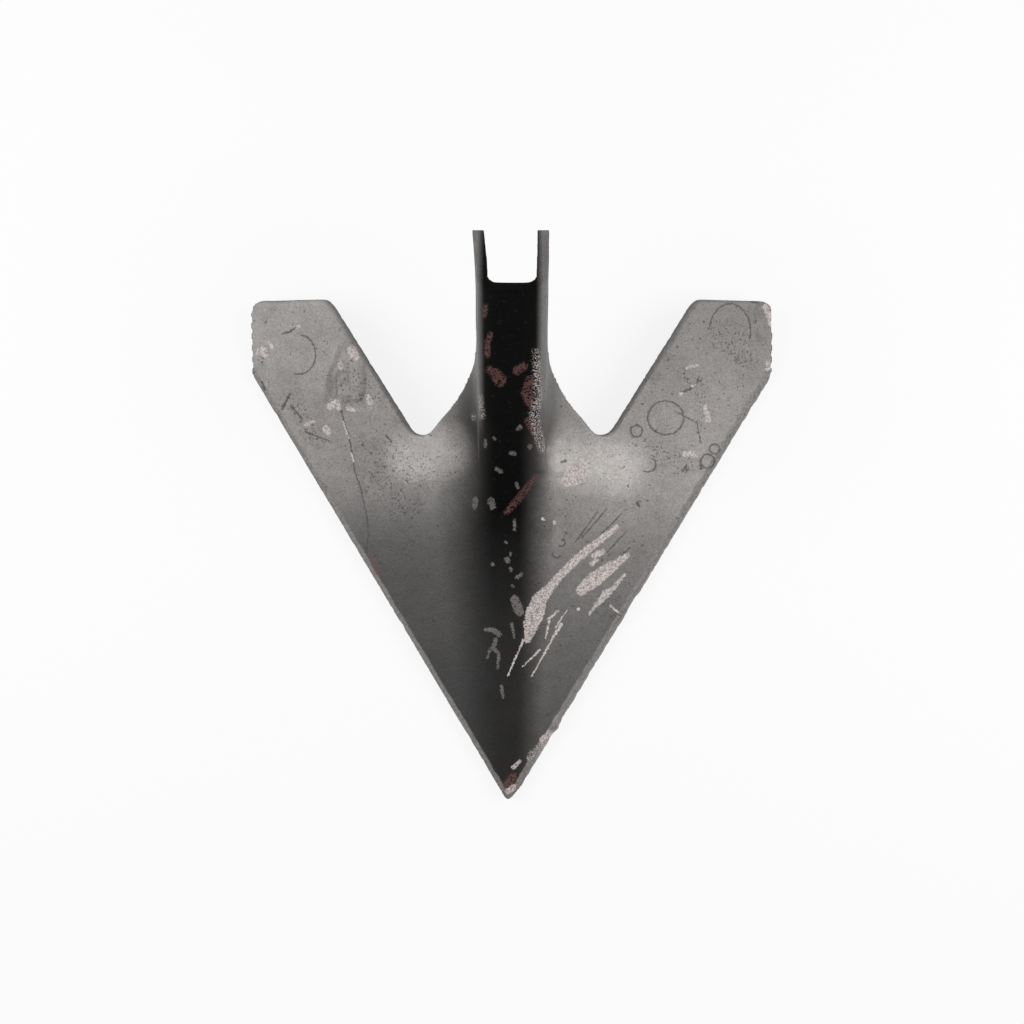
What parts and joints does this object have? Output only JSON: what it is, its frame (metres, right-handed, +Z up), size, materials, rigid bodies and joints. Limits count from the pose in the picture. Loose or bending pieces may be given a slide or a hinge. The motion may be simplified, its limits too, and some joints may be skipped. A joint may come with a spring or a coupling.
{
  "type": "sweep plough share",
  "caption": "Knock-on sweep share for a chisel plough or cultivator: swept cutting wings and a ridge pressed from steel plate, drawn up into a leaning channel socket, worn and scarred.",
  "frame": {"origin": "middle of the footprint, at the level of the cutting edges the share rests on", "axes": "+Y from the point back to the socket, +X across the wings, +Z up from the cutting edges; the socket leans back 50 degrees above the base"},
  "size_m": [0.2976, 0.3134, 0.1731],
  "materials": {
    "share": "worn black paint over forged steel, satin, with bare scratches"
  },
  "bodies": {
    "root": {"share": "share"}
  },
  "joints": []
}
